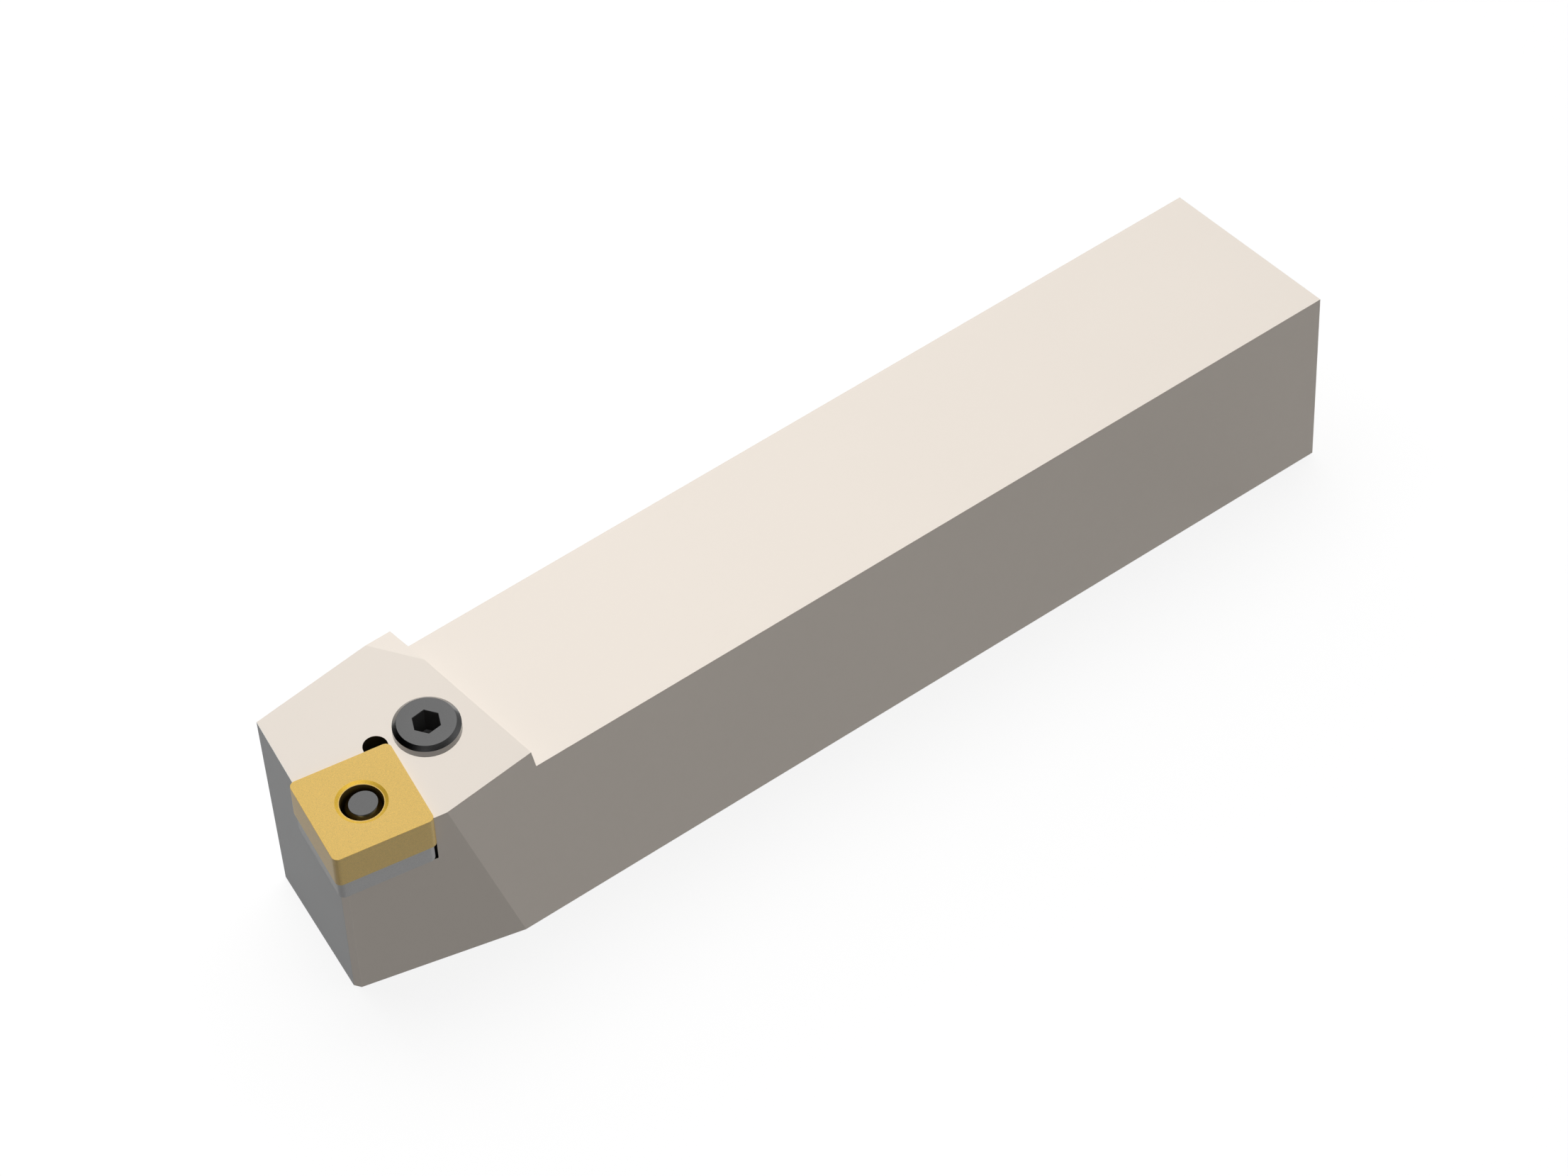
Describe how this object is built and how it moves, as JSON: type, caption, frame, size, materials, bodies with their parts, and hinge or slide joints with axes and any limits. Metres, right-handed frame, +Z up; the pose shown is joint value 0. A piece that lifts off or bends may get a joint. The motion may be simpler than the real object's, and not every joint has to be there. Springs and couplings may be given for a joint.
{
  "type": "turning tool holder",
  "caption": "Square-shank lathe tool with a square carbide insert held in a raised head by a lever that a screw pulls down.",
  "frame": {"origin": "rear end of the shank, at the middle of its width, on the base face", "axes": "+X from the rear end to the cutting end, +Y to the cutting side, +Z up from the base"},
  "size_m": [0.15, 0.025, 0.0295],
  "materials": {
    "holder_steel": "satin plated steel, warm light grey",
    "coated_carbide": "matt gold coating on carbide",
    "bare_carbide": "ground grey carbide",
    "dark_steel": "blackened steel"
  },
  "bodies": {
    "holder": {"holder_body": "holder_steel", "cutting_insert": "coated_carbide", "shim": "bare_carbide", "shim_pin": "dark_steel"},
    "screw": {"lever_screw": "dark_steel"},
    "lever": {"lever": "dark_steel"}
  },
  "joints": [
    {"name": "screw_turn", "type": "hinge", "parent": "holder", "child": "screw", "pos_m": [0.13022, 0.00178, 0.02761], "axis": [0.1273, 0.0735, 0.9891], "range_deg": [0, 270]},
    {"name": "lever_tilt", "type": "hinge", "parent": "holder", "child": "lever", "pos_m": [0.14094, 0.00407, 0.01418], "axis": [-0.2548, 0.9662, -0.039], "range_deg": [0, 2.6]}
  ],
  "couplings": [
    {"joint": "lever_tilt", "follows": "screw_turn", "ratio": 0.00963}
  ]
}
